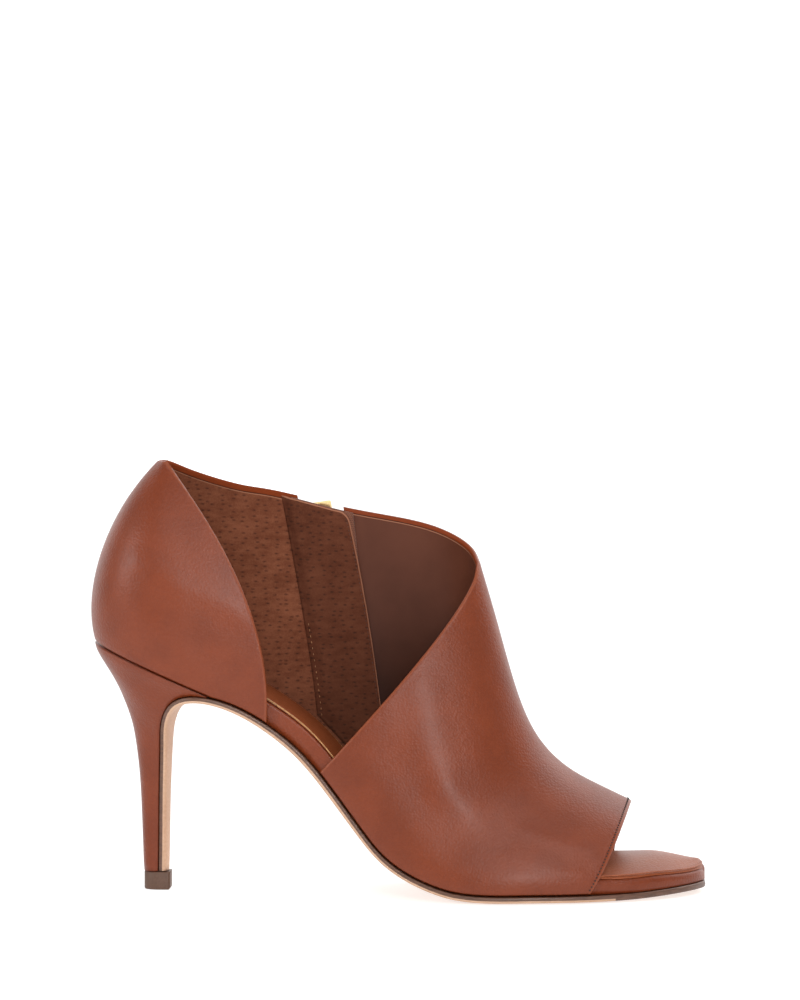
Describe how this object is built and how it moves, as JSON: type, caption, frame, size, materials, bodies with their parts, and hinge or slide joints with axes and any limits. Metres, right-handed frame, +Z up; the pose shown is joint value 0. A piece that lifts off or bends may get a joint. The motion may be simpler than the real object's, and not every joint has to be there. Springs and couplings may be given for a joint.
{
  "type": "peep-toe d'orsay shoe boot",
  "caption": "Slim high-heeled leather shoe boot, open at the toe and cut away on its outer side, with a zip on the inner side.",
  "frame": {"origin": "centre of the heel's flat worn face, on the floor", "axes": "+X towards the toe, +Y towards the inner side with the zip, +Z up"},
  "size_m": [0.2194, 0.0786, 0.154],
  "materials": {
    "upper_leather": "smooth cognac leather, satin",
    "heel_leather": "smooth cognac leather cover, satin",
    "footbed_leather": "smooth cognac leather cover, satin",
    "sock_leather": "smooth caramel leather",
    "outsole": "tan unit sole with a brown painted edge",
    "top_piece": "dark brown rubber",
    "lining": "brown pigskin suede with pinholes",
    "zip_tape": "woven brown tape",
    "zip_metal": "polished gold-coloured metal"
  },
  "bodies": {
    "shoe": {"upper": "upper_leather", "heel": "heel_leather", "footbed": "footbed_leather", "sock": "sock_leather", "outsole": "outsole", "top_piece": "top_piece", "zip_guard": "lining", "zip_tape": "zip_tape", "zip_slider": "zip_metal"},
    "pull_tab": {"zip_pull": "zip_metal"}
  },
  "joints": [
    {"name": "pull_swing", "type": "hinge", "parent": "shoe", "child": "pull_tab", "pos_m": [0.05733, 0.02817, 0.13332], "axis": [0.9872, -0.0434, 0.1534], "range_deg": [0, 120]}
  ]
}
